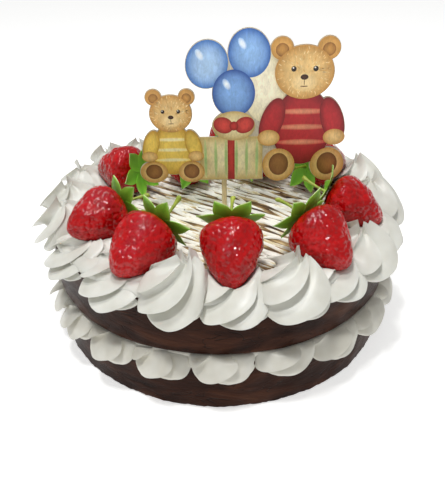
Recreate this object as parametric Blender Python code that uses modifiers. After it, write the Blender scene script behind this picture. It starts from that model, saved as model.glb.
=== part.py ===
# Teddy bear cake: two chocolate layers with cream between them, piped cream rosettes round the
# top edge, ten strawberries with their leaves, drizzle on the top and a cut-out card on a stick.
# Metres, +Z up. The origin is the middle of the flat underside, and the front looks along -Y.
# Azimuths are in degrees from the front, growing towards +X.

import math
import random

import bmesh
import bpy
from mathutils import Matrix, Vector
from mathutils.geometry import delaunay_2d_cdt

CAKE_NAME = "teddy_bear_cake"
CLEARANCE = 0.0003
WELD_DISTANCE = 0.000002

# layers
CAKE_RADIUS = 0.1010
LOWER_RADIUS = 0.1006
LOWER_TOP = 0.0310
UPPER_BOTTOM = 0.0360
UPPER_TOP = 0.0672
EDGE_ROUNDING = 0.0016
LAYER_SIDES = 48

# cream between the layers, with the swirls that hang from it
SWIRL_COUNT = 20
SWIRL_FIRST_AZIMUTH = -0.2
SWIRL_COLUMNS = 6
SWIRL_WALL_RADIUS = CAKE_RADIUS + 0.0004
SWIRL_ROWS = 4
# each petal: middle and half width as parts of the half swirl, foot height, stand-out
SWIRL_PETALS = ((-0.42, 0.56, 0.0212, 0.0078), (0.42, 0.60, 0.0150, 0.0058))
SWIRL_SHORTEST_FOOT = 0.0300
SWIRL_LEAST_PROUD = 0.0010
# where on its belly curve, a half turn of a sine, a swirl starts, and how far down it runs
SWIRL_BELLY_START = 0.18
SWIRL_BELLY_SPAN = 0.66
SWIRL_FOOT_UNDERCUT = 0.0004

# rosettes round the top edge: how wide each one was piped, starting at the left of the front
ROSETTE_START = -68.0
FRONT_ROSETTE_WIDTHS = (20.3, 24.3, 17.2, 18.0, 17.0, 16.0, 17.4, 18.0)
ROSETTE_COUNT = 20
ROSETTE_GAP_ANGLE = 0.30
ROSETTE_LOBES = 6
ROSETTE_LOBE_STEPS = 3
ROSETTE_FOOT_RADIUS = 0.0955
ROSETTE_FOOT_HEIGHT = 0.0621
ROSETTE_TIP_RADIUS = 0.0930
ROSETTE_TIP_HEIGHT = 0.0828
ROSETTE_WIDTH = 0.0416
# its depth across the ring, as part of its width along it
ROSETTE_DEPTH_SHARE = 0.867
ROSETTE_DROOP = math.radians(19)
# where its first ridge starts, how far the ridges turn up to the tip, and how soon they do
ROSETTE_START_TURN = math.radians(141)
ROSETTE_TWIST = math.radians(-161)
ROSETTE_TWIST_EASE = 0.68
# the hollows between two ridges: how far they lean to one side, and how round they are
ROSETTE_LEAN = 1.9
ROSETTE_ROUNDNESS = 2.0
# how far each ridge curls over the hollow behind it
ROSETTE_CURL = 0.26
# how sharply a rosette stops at its neighbour, and how unevenly it was piped
ROSETTE_HOLD = 6
ROSETTE_TURN_RANGE = math.radians(12)
ROSETTE_SIZE_RANGE = (0.97, 1.03)
ROSETTE_TIP_SHIFT = (0.003, 0.008)
ROSETTE_TIP_RISE = 0.002
# a strawberry that lies far out presses the rosette below it inwards and down
PRESSING_RADIUS = 0.0780
PRESSING_REACH = 8.0
PRESSED_IN = 0.0080
PRESSED_DOWN = 0.0050
CORE_DEPTH = 0.010
# rings of the rosette from the underside to the tip: height part, radius part, groove depth
ROSETTE_RINGS = ((0.00, 0.54, 0.10), (0.11, 0.98, 0.26), (0.33, 1.12, 0.33),
                 (0.60, 0.98, 0.38), (0.83, 0.55, 0.42))

# strawberries: azimuth of the body, how far out its middle is, turn of the tip, size,
# how far the tip dips in degrees, height of the middle
STRAWBERRIES = ((3.9, 0.0798, -3.8, 1.00, 34, 0.0823), (38.0, 0.0865, 0.0, 0.98, 25, 0.0821),
                (69.0, 0.0812, 0.0, 0.95, 22, 0.0818), (114.5, 0.0747, 16.0, 0.98, 8, 0.0840),
                (143.0, 0.0582, -20.0, 0.96, 12, 0.0830), (174.0, 0.0784, 0.0, 0.97, 12, 0.0830),
                (207.3, 0.0500, -7.0, 0.97, 12, 0.0830), (247.0, 0.0695, -12.0, 0.98, 8, 0.0838),
                (301.0, 0.0800, 13.0, 0.96, 6, 0.0840), (329.5, 0.0833, -7.0, 1.01, 20, 0.0822))
BERRY_LENGTH = 0.0360
BERRY_WIDTH = 0.0318
BERRY_SIDES = 12
BERRY_RINGS = 8
BERRY_UNEVEN = 0.04
BERRY_FULLNESS = 1.27
BERRY_TIP_POWER = 0.52
BERRY_SHOULDER_POWER = 6
BED_SWELL = 0.00045
BED_REACH = 14.0

# leaves and stems of the strawberries
LEAF_COUNT = 6
LEAF_LENGTH = 0.0180
LEAF_WIDTH = 0.0094
LEAF_THICKNESS = 0.0008
LEAF_RISE = 0.0030
LEAF_FOLD = 0.0010
LEAF_LIFT = 0.0006
# along a leaf: the knee of its midrib, its widest place, and the notch between two leaves
LEAF_KNEE = 0.52
LEAF_WIDEST = 0.60
LEAF_NOTCH = 0.0041
# the star's own turn: near 0, two of its leaves lie on either side of the straight way down
STAR_TURN_RANGE = math.radians(9)
LEAF_TURN_RANGE = 0.06
LEAF_LENGTH_RANGE = (0.90, 1.05)
LEAF_RISE_RANGE = (0.6, 1.3)
STEM_LENGTH = 0.0165
STEM_RADIUS = 0.0010
STEM_BEND = 0.0050
STEM_END_SWELL = 0.35
STEM_POINTS = 4

# drizzle strips across the top
DRIZZLE_AZIMUTH = math.radians(-27)
DRIZZLE_RADIUS = 0.0755
DRIZZLE_SPACING = 0.0063
DRIZZLE_WIDTH = 0.0034
DRIZZLE_HEIGHT = 0.0011
DRIZZLE_SINK = 0.0005
DRIZZLE_SEGMENTS = 3
DRIZZLE_REACH_RANGE = (0.90, 1.0)
DRIZZLE_DRIFT = 0.0007
DRIZZLE_WIDTH_RANGE = (0.8, 1.15)
DRIZZLE_CREST_RANGE = (0.8, 1.0)
DRIZZLE_CREST_SHARE = 0.56

# topper
STICK_X = 0.0026
STICK_RADIUS = 0.0015
STICK_BOTTOM = 0.0400
STICK_TOP = 0.1420
STICK_SIDES = 12
BORE_LENGTH = 0.080
CARD_THICKNESS = 0.0016
CARD_FOOT = 0.0870
CARD_Y = -(STICK_RADIUS + CLEARANCE + CARD_THICKNESS / 2)
# the cut-out outline is the union of these ellipses: x, z above the card's foot, half axes, turn
CARD_ELLIPSES = (
    # large bear on the right: head, ears, body, arms, paws, feet
    (0.0470, 0.0640, 0.0165, 0.0148, 0), (0.0345, 0.0768, 0.0064, 0.0064, 0),
    (0.0595, 0.0768, 0.0064, 0.0064, 0), (0.0470, 0.0330, 0.0172, 0.0225, 0),
    (0.0300, 0.0370, 0.0068, 0.0140, -18), (0.0640, 0.0370, 0.0068, 0.0140, 18),
    (0.0345, 0.0105, 0.0098, 0.0105, 0), (0.0628, 0.0105, 0.0102, 0.0105, 0),
    # small bear on the left: head, ears, body, arms, feet
    (-0.0270, 0.0420, 0.0122, 0.0110, 0), (-0.0362, 0.0515, 0.0048, 0.0048, 0),
    (-0.0178, 0.0515, 0.0048, 0.0048, 0), (-0.0270, 0.0205, 0.0126, 0.0155, 0),
    (-0.0392, 0.0235, 0.0050, 0.0096, -16), (-0.0148, 0.0235, 0.0050, 0.0096, 16),
    (-0.0385, 0.0070, 0.0085, 0.0070, 0), (-0.0165, 0.0070, 0.0080, 0.0070, 0),
    # balloons above the parcel, and the bow that ties them
    (0.0170, 0.0745, 0.0118, 0.0133, 8), (-0.0060, 0.0690, 0.0118, 0.0133, -14),
    (0.0085, 0.0530, 0.0122, 0.0135, 0), (0.0085, 0.0345, 0.0125, 0.0090, 0))
CARD_ELLIPSE_SIDES = 14
# the parcel in the middle: left, right, foot and top, above the card's foot
CARD_PARCEL = (-0.0118, 0.0255, 0.0012, 0.0280)
CARD_SHORTEST_EDGE = 0.00012

COLOURS = {
    "chocolate": ((0.045, 0.023, 0.016, 1), 0.42),
    "cream": ((0.76, 0.74, 0.69, 1), 0.48),
    "strawberry": ((0.47, 0.010, 0.013, 1), 0.22),
    "leaf": ((0.075, 0.21, 0.018, 1), 0.50),
    "card": ((0.62, 0.47, 0.27, 1), 0.60),
    "wood": ((0.66, 0.50, 0.28, 1), 0.65),
}


def clear_scene():
    for item in list(bpy.data.objects):
        bpy.data.objects.remove(item, do_unlink=True)


def make_collection(name):
    collection = bpy.data.collections.new(name)
    bpy.context.scene.collection.children.link(collection)
    return collection


def make_material(name):
    colour, roughness = COLOURS[name]
    material = bpy.data.materials.new(name)
    material.use_nodes = True
    shader = material.node_tree.nodes["Principled BSDF"]
    shader.inputs["Base Color"].default_value = colour
    shader.inputs["Roughness"].default_value = roughness
    shader.inputs["Metallic"].default_value = 0.0
    return material


def polar(radius, azimuth, height):
    angle = math.radians(azimuth)
    return Vector((radius * math.sin(angle), -radius * math.cos(angle), height))


def add_object(name, mesh, collection, material=None):
    item = bpy.data.objects.new(name, mesh)
    collection.objects.link(item)
    if material:
        mesh.materials.clear()
        mesh.materials.append(material)
    return item


def mesh_from_bmesh(name, shape):
    bmesh.ops.recalc_face_normals(shape, faces=shape.faces)
    mesh = bpy.data.meshes.new(name)
    shape.to_mesh(mesh)
    shape.free()
    return mesh


def smooth(mesh, degrees=40):
    mesh.shade_smooth()
    mesh.set_sharp_from_angle(angle=math.radians(degrees))


def apply_modifiers(item):
    """Keep the shape that an object's modifiers make, and drop them."""
    graph = bpy.context.evaluated_depsgraph_get()
    mesh = bpy.data.meshes.new_from_object(item.evaluated_get(graph))
    item.modifiers.clear()
    item.data = mesh


def mark_as_cutter(item):
    item.hide_render = True
    item.display_type = "WIRE"


def boolean(item, operation, cutter=None, collection=None):
    modifier = item.modifiers.new(operation.lower(), "BOOLEAN")
    modifier.operation = operation
    modifier.solver = "EXACT"
    if collection:
        modifier.operand_type = "COLLECTION"
        modifier.collection = collection
    else:
        modifier.object = cutter
    apply_modifiers(item)


def keep_largest_piece(item):
    """Drop the loose crumbs that a cut leaves beside the main piece."""
    shape = bmesh.new()
    shape.from_mesh(item.data)
    bmesh.ops.remove_doubles(shape, verts=shape.verts, dist=WELD_DISTANCE)
    waiting = set(shape.verts)
    pieces = []
    while waiting:
        front = [waiting.pop()]
        piece = set(front)
        while front:
            for edge in front.pop().link_edges:
                for vert in edge.verts:
                    if vert in waiting:
                        waiting.remove(vert)
                        piece.add(vert)
                        front.append(vert)
        pieces.append(piece)
    largest = max(pieces, key=len)
    scraps = [vert for vert in shape.verts if vert not in largest]
    bmesh.ops.delete(shape, geom=scraps, context="VERTS")
    shape.to_mesh(item.data)
    shape.free()


def closed_grid(rows, first_point=None, last_point=None):
    """Join rings of points into one closed surface; an end is a point or a flat face."""
    shape = bmesh.new()
    rings = [[shape.verts.new(point) for point in row] for row in rows]
    count = len(rings[0])
    for lower, upper in zip(rings, rings[1:]):
        for i in range(count):
            j = (i + 1) % count
            shape.faces.new((lower[i], lower[j], upper[j], upper[i]))
    for ring, point in ((rings[0], first_point), (rings[-1], last_point)):
        if point is None:
            shape.faces.new(ring)
            continue
        tip = shape.verts.new(point)
        for i in range(count):
            shape.faces.new((ring[i], ring[(i + 1) % count], tip))
    bmesh.ops.triangulate(shape, faces=shape.faces)
    return shape


def turned_layer(name, radius, bottom, top, collection):
    """A cake layer: a turned profile with rounded edges, run down its outer side, and two caps."""
    profile = ((radius - EDGE_ROUNDING, top), (radius, top - EDGE_ROUNDING),
               (radius, bottom + EDGE_ROUNDING), (radius - EDGE_ROUNDING, bottom))
    mesh = bpy.data.meshes.new(name)
    links = [(i, i + 1) for i in range(len(profile) - 1)]
    mesh.from_pydata([(x, 0, z) for x, z in profile], links, [])
    item = add_object(name, mesh, collection)
    screw = item.modifiers.new("turn", "SCREW")
    screw.axis = "Z"
    screw.steps = LAYER_SIDES
    screw.render_steps = LAYER_SIDES
    screw.use_merge_vertices = True
    screw.merge_threshold = WELD_DISTANCE
    apply_modifiers(item)
    shape = bmesh.new()
    shape.from_mesh(item.data)
    bmesh.ops.holes_fill(shape, edges=shape.edges)
    bmesh.ops.recalc_face_normals(shape, faces=shape.faces)
    shape.to_mesh(item.data)
    shape.free()
    return item


def drizzle_strip(name, offset, rng, collection):
    """One strip of drizzle: a thin, slightly wavy ridge across the top."""
    half_chord = math.sqrt(DRIZZLE_RADIUS ** 2 - offset ** 2)
    start = -half_chord * rng.uniform(*DRIZZLE_REACH_RANGE)
    end = half_chord * rng.uniform(*DRIZZLE_REACH_RANGE)
    along = Vector((math.cos(DRIZZLE_AZIMUTH), math.sin(DRIZZLE_AZIMUTH), 0))
    across = Vector((-along.y, along.x, 0))
    foot = UPPER_TOP - DRIZZLE_SINK
    half_crest = DRIZZLE_CREST_SHARE / 2
    rows = []
    for step in range(DRIZZLE_SEGMENTS + 1):
        part = step / DRIZZLE_SEGMENTS
        drift = offset + rng.uniform(-DRIZZLE_DRIFT, DRIZZLE_DRIFT)
        width = DRIZZLE_WIDTH * rng.uniform(*DRIZZLE_WIDTH_RANGE)
        middle = along * (start + (end - start) * part) + across * drift
        crest = UPPER_TOP + DRIZZLE_HEIGHT * rng.uniform(*DRIZZLE_CREST_RANGE)
        corners = ((-0.5, foot), (0.5, foot), (half_crest, crest), (-half_crest, crest))
        rows.append([middle + across * (width * side) + Vector((0, 0, height))
                     for side, height in corners])
    return add_object(name, mesh_from_bmesh(name, closed_grid(rows)), collection)


def upper_layer(collection, cutters, materials):
    """The upper layer with its drizzle fused on and the hole that holds the stick."""
    rng = random.Random(7)
    layer = turned_layer("sponge_upper", CAKE_RADIUS, UPPER_BOTTOM, UPPER_TOP, collection)
    strips = make_collection("drizzle_strips")
    count = int(DRIZZLE_RADIUS * 2 / DRIZZLE_SPACING)
    for i in range(count):
        offset = (i - (count - 1) / 2) * DRIZZLE_SPACING
        drizzle_strip("drizzle_" + str(i), offset, rng, strips)
    boolean(layer, "UNION", collection=strips)
    for strip in list(strips.objects):
        bpy.data.objects.remove(strip, do_unlink=True)
    bpy.data.collections.remove(strips)
    bore = stick_bore(cutters)
    boolean(layer, "DIFFERENCE", cutter=bore)
    keep_largest_piece(layer)
    layer.data.materials.clear()
    layer.data.materials.append(materials["chocolate"])
    return layer


def stick_bore(cutters):
    shape = bmesh.new()
    radius = STICK_RADIUS + CLEARANCE
    bmesh.ops.create_cone(shape, cap_ends=True, segments=STICK_SIDES, radius1=radius,
                          radius2=radius, depth=BORE_LENGTH)
    middle = Vector((STICK_X, 0, STICK_BOTTOM - CLEARANCE + BORE_LENGTH / 2))
    bmesh.ops.translate(shape, vec=middle, verts=shape.verts)
    bore = add_object("stick_bore", mesh_from_bmesh("stick_bore", shape), cutters)
    mark_as_cutter(bore)
    return bore


def swirl_surface(place, depth):
    """How far a hanging swirl stands out, and how low its foot is, across its half width.

    place runs from -1 to 1 across the swirl and depth from 0 at the groove to 1 at the foot.
    """
    foot = SWIRL_SHORTEST_FOOT
    proud = SWIRL_LEAST_PROUD
    for middle, half_width, petal_foot, stand_out in SWIRL_PETALS:
        off = (place - middle) / half_width
        if abs(off) >= 1:
            continue
        fullness = math.sqrt(1 - off * off)
        foot = min(foot, SWIRL_SHORTEST_FOOT - (SWIRL_SHORTEST_FOOT - petal_foot) * fullness)
        belly = math.sin(math.pi * (SWIRL_BELLY_START + SWIRL_BELLY_SPAN * depth))
        proud = max(proud, stand_out * fullness * belly)
    return foot, proud


def cream_filling(collection, materials):
    """The cream layer that runs through the cake, with the ring of swirls that hangs from it."""
    top = UPPER_BOTTOM - CLEARANCE
    bottom = LOWER_TOP + CLEARANCE
    columns = SWIRL_COUNT * SWIRL_COLUMNS
    swirl_angle = 360 / SWIRL_COUNT
    rows = [[] for _ in range(SWIRL_ROWS + 3)]
    for column in range(columns):
        place = 2 * ((column % SWIRL_COLUMNS) + 0.5) / SWIRL_COLUMNS - 1
        swirl = column // SWIRL_COLUMNS
        azimuth = SWIRL_FIRST_AZIMUTH + swirl_angle * (swirl + place / 2)
        foot = swirl_surface(place, 0)[0]
        for row in range(SWIRL_ROWS + 1):
            depth = row / SWIRL_ROWS
            proud = swirl_surface(place, depth)[1]
            height = top - (top - foot) * depth
            rows[row].append(polar(SWIRL_WALL_RADIUS + proud, azimuth, height))
        rows[SWIRL_ROWS + 1].append(polar(SWIRL_WALL_RADIUS, azimuth, foot + SWIRL_FOOT_UNDERCUT))
        rows[SWIRL_ROWS + 2].append(polar(SWIRL_WALL_RADIUS, azimuth, bottom))
    shape = closed_grid(rows, first_point=(0, 0, top), last_point=(0, 0, bottom))
    mesh = mesh_from_bmesh("cream_filling", shape)
    smooth(mesh)
    return add_object("cream_filling", mesh, collection, materials["cream"])


def rosette_azimuths():
    """Left edge and width of every rosette, in degrees."""
    widths = list(FRONT_ROSETTE_WIDTHS)
    left_over = 360 - sum(widths)
    rest = ROSETTE_COUNT - len(widths)
    widths += [left_over / rest] * rest
    edge = ROSETTE_START
    spans = []
    for width in widths:
        spans.append((edge, width))
        edge += width
    return spans


def rosette_hollow(phase):
    """Star-nozzle section: 0 on a ridge, 1 in the deepest place, which leans one way."""
    return 1 - abs(2 * phase ** ROSETTE_LEAN - 1) ** ROSETTE_ROUNDNESS


def is_pressed(middle):
    """Whether a strawberry that lies far out rests on the rosette at this azimuth."""
    for place in STRAWBERRIES:
        apart = abs((place[0] - middle + 180) % 360 - 180)
        if place[1] > PRESSING_RADIUS and apart < PRESSING_REACH:
            return True
    return False


def rosette(number, left_edge, width, collection, materials):
    """One piped rosette that leans over the cake's edge, kept inside its own share of the ring."""
    rng = random.Random(500 + number)
    middle = left_edge + width / 2
    half_share = width / 2 - ROSETTE_GAP_ANGLE / 2
    start_turn = ROSETTE_START_TURN + rng.uniform(-ROSETTE_TURN_RANGE, ROSETTE_TURN_RANGE)
    tip_shift = rng.uniform(*ROSETTE_TIP_SHIFT)
    tip_height = ROSETTE_TIP_HEIGHT + rng.uniform(-ROSETTE_TIP_RISE, ROSETTE_TIP_RISE)
    size = ROSETTE_WIDTH / 2 * rng.uniform(*ROSETTE_SIZE_RANGE)
    tip_radius = ROSETTE_TIP_RADIUS
    if is_pressed(middle):
        tip_radius -= PRESSED_IN
        tip_height -= PRESSED_DOWN
    sides = ROSETTE_LOBES * ROSETTE_LOBE_STEPS
    foot = Vector((0, ROSETTE_FOOT_RADIUS, ROSETTE_FOOT_HEIGHT))
    tip = Vector((tip_shift, tip_radius, tip_height))

    def on_cake(point):
        turn = math.degrees(point.x / point.y)
        held = turn / (1 + abs(turn / half_share) ** ROSETTE_HOLD) ** (1 / ROSETTE_HOLD)
        return polar(point.y, middle + held, point.z)

    rows = []
    for height_part, radius_part, groove in ROSETTE_RINGS:
        centre = foot.lerp(tip, height_part)
        droop = ROSETTE_DROOP * (1 - height_part)
        outward = Vector((0, math.cos(droop), -math.sin(droop)))
        ring = []
        for i in range(sides):
            hollow = rosette_hollow((i % ROSETTE_LOBE_STEPS) / ROSETTE_LOBE_STEPS)
            angle = start_turn + 2 * math.pi * i / sides - ROSETTE_CURL * (1 - hollow) ** 3
            angle += ROSETTE_TWIST * height_part ** ROSETTE_TWIST_EASE
            reach = size * radius_part * (1 - groove * hollow)
            sideways = Vector((reach * math.cos(angle), 0, 0))
            depth = ROSETTE_DEPTH_SHARE * reach * math.sin(angle)
            ring.append(on_cake(centre + sideways + outward * depth))
        rows.append(ring)
    shape = closed_grid(rows, last_point=on_cake(tip))
    name = "cream_rosette_{:02d}".format(number)
    return add_object(name, mesh_from_bmesh(name, shape), collection, materials["cream"])


def berry_girth(part):
    """Half width of a strawberry from its tip (0) to its leaves (1), as part of the widest."""
    return BERRY_FULLNESS * part ** BERRY_TIP_POWER * math.sqrt(1 - part ** BERRY_SHOULDER_POWER)


def berry_matrix(place):
    """Place a strawberry whose own +Z runs from its tip to its leaves."""
    azimuth, radius, turn, size, dip, height = place
    out = polar(1, azimuth + turn, 0)
    axis = -out * math.cos(math.radians(dip)) + Vector((0, 0, math.sin(math.radians(dip))))
    side = axis.cross(Vector((0, 0, 1))).normalized()
    up = side.cross(axis)
    frame = Matrix((side, up, axis)).transposed().to_4x4()
    return Matrix.Translation(polar(radius, azimuth, height)) @ frame @ Matrix.Scale(size, 4)


def berry_mesh(name, rng, swell=0.0):
    """A strawberry along +Z, tip down, with its middle at the origin."""
    shape = bmesh.new()
    bmesh.ops.create_uvsphere(shape, u_segments=BERRY_SIDES, v_segments=BERRY_RINGS, radius=1)
    lean = rng.uniform(0, 2 * math.pi)
    for vert in shape.verts:
        part = min(max((1 + vert.co.z) / 2, 0), 1)
        angle = math.atan2(vert.co.y, vert.co.x)
        bulge = math.cos(2 * (angle - lean)) + math.cos(angle + lean)
        girth = BERRY_WIDTH / 2 * berry_girth(part) * (1 + BERRY_UNEVEN * bulge)
        if math.hypot(vert.co.x, vert.co.y) > WELD_DISTANCE:
            girth += swell
        length = BERRY_LENGTH * (part - 0.5) + swell * (2 * part - 1)
        vert.co = Vector((girth * math.cos(angle), girth * math.sin(angle), length))
    bmesh.ops.triangulate(shape, faces=shape.faces)
    return mesh_from_bmesh(name, shape)


def strawberry(number, place, collection, cutters, materials):
    """One strawberry and the slightly larger copy that presses its bed into the cream."""
    matrix = berry_matrix(place)
    name = "strawberry_{:02d}".format(number)
    mesh = berry_mesh(name, random.Random(100 + number))
    smooth(mesh, 60)
    berry = add_object(name, mesh, collection, materials["strawberry"])
    berry.matrix_world = matrix
    swollen = berry_mesh(name + "_bed", random.Random(100 + number), swell=BED_SWELL)
    press = add_object(name + "_bed", swollen, cutters)
    press.matrix_world = matrix
    mark_as_cutter(press)
    return press


def leaf_star(name, rng):
    """The leaves round a stem: one thin wavy star, with the same triangles on both faces."""
    shape = bmesh.new()
    step = 2 * math.pi / LEAF_COUNT
    turn = rng.uniform(-STAR_TURN_RANGE, STAR_TURN_RANGE)

    def point(angle, distance, rise):
        return Vector((distance * math.cos(angle), distance * math.sin(angle), rise))

    faces = []
    for face in (0, 1):
        lift = LEAF_THICKNESS * face
        rng_leaf = random.Random(name)
        centre = shape.verts.new((0, 0, lift))
        notches = [shape.verts.new(point(turn + step * (i - 0.5), LEAF_NOTCH, LEAF_FOLD + lift))
                   for i in range(LEAF_COUNT)]
        rim = []
        for i in range(LEAF_COUNT):
            angle = turn + step * i + rng_leaf.uniform(-LEAF_TURN_RANGE, LEAF_TURN_RANGE)
            length = LEAF_LENGTH * rng_leaf.uniform(*LEAF_LENGTH_RANGE)
            rise = LEAF_RISE * rng_leaf.uniform(*LEAF_RISE_RANGE)
            widest = length * LEAF_WIDEST
            spread = math.atan2(LEAF_WIDTH / 2, widest)
            left_rise = LEAF_FOLD + rise / 2
            rib = shape.verts.new(point(angle, length * LEAF_KNEE, lift - LEAF_FOLD / 2))
            left = shape.verts.new(point(angle - spread, widest, left_rise + lift))
            right = shape.verts.new(point(angle + spread, widest, LEAF_FOLD + lift))
            tip = shape.verts.new(point(angle, length, rise + lift))
            before = notches[i]
            after = notches[(i + 1) % LEAF_COUNT]
            rim += [before, left, tip, right]
            triangles = ((centre, before, rib), (centre, rib, after), (before, left, rib),
                         (rib, right, after), (left, tip, rib), (rib, tip, right))
            for triangle in triangles:
                shape.faces.new(triangle if face else tuple(reversed(triangle)))
        faces.append(rim)
    low, high = faces
    for i in range(len(low)):
        j = (i + 1) % len(low)
        shape.faces.new((low[i], low[j], high[j]))
        shape.faces.new((low[i], high[j], high[i]))
    return mesh_from_bmesh(name, shape)


def stem_object(name, rng, collection):
    """A short bent stem with a thicker cut end, made as a curve and turned into a mesh."""
    curve = bpy.data.curves.new(name, "CURVE")
    curve.dimensions = "3D"
    curve.bevel_depth = STEM_RADIUS
    curve.bevel_resolution = 1
    curve.use_fill_caps = True
    bend = rng.uniform(0, 2 * math.pi)
    spline = curve.splines.new("POLY")
    spline.points.add(STEM_POINTS - 1)
    for i in range(STEM_POINTS):
        part = i / (STEM_POINTS - 1)
        sideways = STEM_BEND * part * part
        spline.points[i].co = (sideways * math.cos(bend), sideways * math.sin(bend),
                               LEAF_THICKNESS / 2 + STEM_LENGTH * part, 1)
        spline.points[i].radius = 1 + STEM_END_SWELL * part ** 3
    item = bpy.data.objects.new(name, curve)
    collection.objects.link(item)
    graph = bpy.context.evaluated_depsgraph_get()
    mesh = bpy.data.meshes.new_from_object(item.evaluated_get(graph))
    shape = bmesh.new()
    shape.from_mesh(mesh)
    bmesh.ops.remove_doubles(shape, verts=shape.verts, dist=WELD_DISTANCE)
    bmesh.ops.triangulate(shape, faces=shape.faces)
    shape.to_mesh(mesh)
    shape.free()
    solid = add_object(name + "_solid", mesh, collection)
    solid.matrix_world = item.matrix_world
    bpy.data.objects.remove(item, do_unlink=True)
    bpy.data.curves.remove(curve)
    return solid


def strawberry_leaves(number, place, collection, cutters, materials):
    rng = random.Random(300 + number)
    name = "strawberry_leaves_{:02d}".format(number)
    mesh = leaf_star(name, rng)
    leaves = add_object(name, mesh, collection)
    stem = stem_object(name + "_stem", rng, cutters)
    boolean(leaves, "UNION", cutter=stem)
    bpy.data.objects.remove(stem, do_unlink=True)
    leaves.data.materials.clear()
    leaves.data.materials.append(materials["leaf"])
    lift = Matrix.Translation((0, 0, BERRY_LENGTH / 2 + LEAF_LIFT))
    leaves.matrix_world = berry_matrix(place) @ lift
    return leaves


def card_outline_shapes():
    """The closed outlines whose union is the cut-out card, seen from the front."""
    outlines = []
    for x, z, half_x, half_z, turn in CARD_ELLIPSES:
        angle = math.radians(turn)
        outline = []
        for i in range(CARD_ELLIPSE_SIDES):
            around = 2 * math.pi * i / CARD_ELLIPSE_SIDES
            u = half_x * math.cos(around)
            v = half_z * math.sin(around)
            outline.append(Vector((x + u * math.cos(angle) - v * math.sin(angle),
                                   z + u * math.sin(angle) + v * math.cos(angle))))
        outlines.append(outline)
    left, right, foot, top = CARD_PARCEL
    corners = ((left, foot), (right, foot), (right, top), (left, top))
    outlines.append([Vector(corner) for corner in corners])
    return outlines


def topper_card(collection, materials):
    """The cut-out card: the union of its motifs' outlines, with a real thickness."""
    points = []
    loops = []
    for outline in card_outline_shapes():
        loops.append(list(range(len(points), len(points) + len(outline))))
        points += outline
    inside_only = 1
    result = delaunay_2d_cdt(points, [], loops, inside_only, WELD_DISTANCE)
    flat_points, flat_faces = result[0], result[2]
    shape = bmesh.new()
    verts = [shape.verts.new((point.x, CARD_Y, CARD_FOOT + point.y)) for point in flat_points]
    for face in flat_faces:
        shape.faces.new([verts[i] for i in face])
    bmesh.ops.dissolve_faces(shape, faces=list(shape.faces))
    loose = [vert for vert in shape.verts if not vert.link_faces]
    bmesh.ops.delete(shape, geom=loose, context="VERTS")
    bmesh.ops.remove_doubles(shape, verts=shape.verts, dist=CARD_SHORTEST_EDGE)
    mesh = mesh_from_bmesh("topper_card", shape)
    card = add_object("topper_card", mesh, collection, materials["card"])
    solidify = card.modifiers.new("thickness", "SOLIDIFY")
    solidify.thickness = CARD_THICKNESS
    solidify.offset = 0
    return card


def topper_stick(collection, materials):
    shape = bmesh.new()
    bmesh.ops.create_cone(shape, cap_ends=True, segments=STICK_SIDES, radius1=STICK_RADIUS,
                          radius2=STICK_RADIUS, depth=STICK_TOP - STICK_BOTTOM)
    middle = Vector((STICK_X, 0, (STICK_TOP + STICK_BOTTOM) / 2))
    bmesh.ops.translate(shape, vec=middle, verts=shape.verts)
    mesh = mesh_from_bmesh("topper_stick", shape)
    smooth(mesh)
    return add_object("topper_stick", mesh, collection, materials["wood"])


def cream_cutter(cutters):
    """The cake body, slightly enlarged, that trims the rosettes where they sit on it."""
    core = turned_layer("cake_core", CAKE_RADIUS + CLEARANCE, UPPER_BOTTOM - CORE_DEPTH,
                        UPPER_TOP + CLEARANCE, cutters)
    mark_as_cutter(core)
    return core


def build():
    clear_scene()
    parts = make_collection(CAKE_NAME)
    cutters = make_collection("cutters")
    materials = {name: make_material(name) for name in COLOURS}

    lower = turned_layer("sponge_lower", LOWER_RADIUS, 0, LOWER_TOP, parts)
    lower.data.materials.append(materials["chocolate"])
    smooth(lower.data)
    cream_filling(parts, materials)
    upper_layer(parts, cutters, materials)

    presses = []
    for number, place in enumerate(STRAWBERRIES, start=1):
        presses.append((place[0], strawberry(number, place, parts, cutters, materials)))
        strawberry_leaves(number, place, parts, cutters, materials)

    core = cream_cutter(cutters)
    for number, (left_edge, width) in enumerate(rosette_azimuths(), start=1):
        item = rosette(number, left_edge, width, parts, materials)
        boolean(item, "DIFFERENCE", cutter=core)
        middle = left_edge + width / 2
        for azimuth, press in presses:
            apart = abs((azimuth - middle + 180) % 360 - 180)
            if apart < width / 2 + BED_REACH:
                boolean(item, "DIFFERENCE", cutter=press)
        keep_largest_piece(item)
        smooth(item.data)

    topper_stick(parts, materials)
    topper_card(parts, materials)


build()
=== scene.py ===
import math
import random

import bpy
import numpy as np
from mathutils import Matrix, Vector
from mathutils.bvhtree import BVHTree
from mathutils.geometry import delaunay_2d_cdt


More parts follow.
